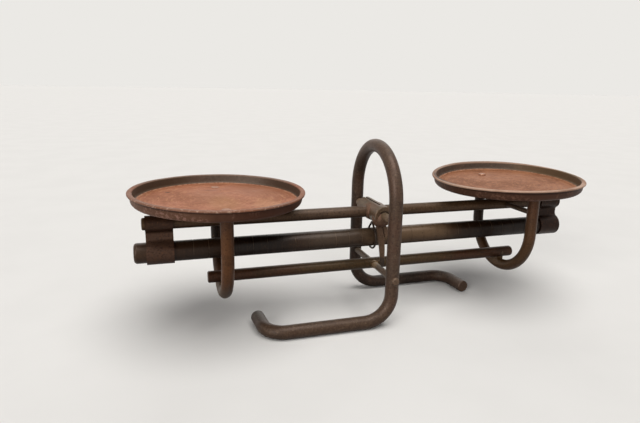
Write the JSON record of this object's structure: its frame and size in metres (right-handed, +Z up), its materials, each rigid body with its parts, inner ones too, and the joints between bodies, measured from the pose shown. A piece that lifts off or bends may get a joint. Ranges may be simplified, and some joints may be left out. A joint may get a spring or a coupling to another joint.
{
  "type": "two-pan counter balance",
  "caption": "Parallel-link counter balance of bent round bar, with dished pans above the beam, a tube with ring marks below it, a wire rider and a pointer",
  "frame": {"origin": "on the surface the feet stand on, midway between the two legs, under the main shaft", "axes": "+X along the level beam, towards the end where the tube is flush with its strap; +Y from the pointer's side to the back; +Z up"},
  "size_m": [0.4349, 0.1529, 0.163],
  "materials": {
    "stand_bar_steel": "matte",
    "cross_rod_steel": "matte",
    "hub_steel": "matte",
    "shaft_steel": "satin",
    "beam_bar_steel": "matte",
    "rusted_weld": "matte",
    "tube_steel": "satin",
    "strap_sheet": "matte",
    "pointer_steel": "satin",
    "pin_steel": "satin",
    "rider_wire": "satin",
    "stay_bar_steel": "matte",
    "bush_brass": "satin",
    "hanger_bar_steel": "matte",
    "pan_sheet": "matte",
    "rivet_steel": "satin"
  },
  "bodies": {
    "stand": {"stand_frame": "stand_bar_steel", "lower_cross_rod": "cross_rod_steel"},
    "beam": {"hub_sleeve": "hub_steel", "main_shaft": "shaft_steel", "beam_rod_left": "beam_bar_steel", "beam_rod_right": "beam_bar_steel", "hub_weld_left": "rusted_weld", "hub_weld_right": "rusted_weld", "scale_tube": "tube_steel", "tube_plug_left": "tube_steel", "tube_plug_right": "tube_steel", "strap_left": "strap_sheet", "strap_right": "strap_sheet", "pointer": "pointer_steel", "pointer_weld": "rusted_weld", "hanger_pin_left": "pin_steel", "hanger_pin_right": "pin_steel"},
    "rider": {"rider_loop": "rider_wire"},
    "stay": {"lower_stay": "stay_bar_steel", "stay_bush": "bush_brass", "stay_pin_left": "pin_steel", "stay_pin_right": "pin_steel"},
    "left_hanger": {"hanger_left": "hanger_bar_steel", "hanger_lug_left": "hanger_bar_steel", "pan_left": "pan_sheet", "pan_rivets_left": "rivet_steel"},
    "right_hanger": {"hanger_right": "hanger_bar_steel", "hanger_lug_right": "hanger_bar_steel", "pan_right": "pan_sheet", "pan_rivets_right": "rivet_steel"}
  },
  "joints": [
    {"name": "beam_tilt", "type": "hinge", "parent": "stand", "child": "beam", "pos_m": [0, 0, 0.0958], "axis": [0, 1, 0], "range_deg": [-7, 7]},
    {"name": "stay_tilt", "type": "hinge", "parent": "stand", "child": "stay", "pos_m": [0, 0, 0.0445], "axis": [0, 1, 0], "range_deg": [-7, 7]},
    {"name": "left_hanger_swing", "type": "hinge", "parent": "beam", "child": "left_hanger", "pos_m": [-0.1428, 0, 0.0958], "axis": [0, 1, 0], "range_deg": [-7, 7]},
    {"name": "right_hanger_swing", "type": "hinge", "parent": "beam", "child": "right_hanger", "pos_m": [0.1428, 0, 0.0958], "axis": [0, 1, 0], "range_deg": [-7, 7]},
    {"name": "rider_slide", "type": "slide", "parent": "beam", "child": "rider", "axis": [1, 0, 0], "range_m": [-0.178, 0.182]}
  ],
  "couplings": [
    {"joint": "stay_tilt", "follows": "beam_tilt", "ratio": 1},
    {"joint": "left_hanger_swing", "follows": "beam_tilt", "ratio": -1},
    {"joint": "right_hanger_swing", "follows": "beam_tilt", "ratio": -1}
  ]
}
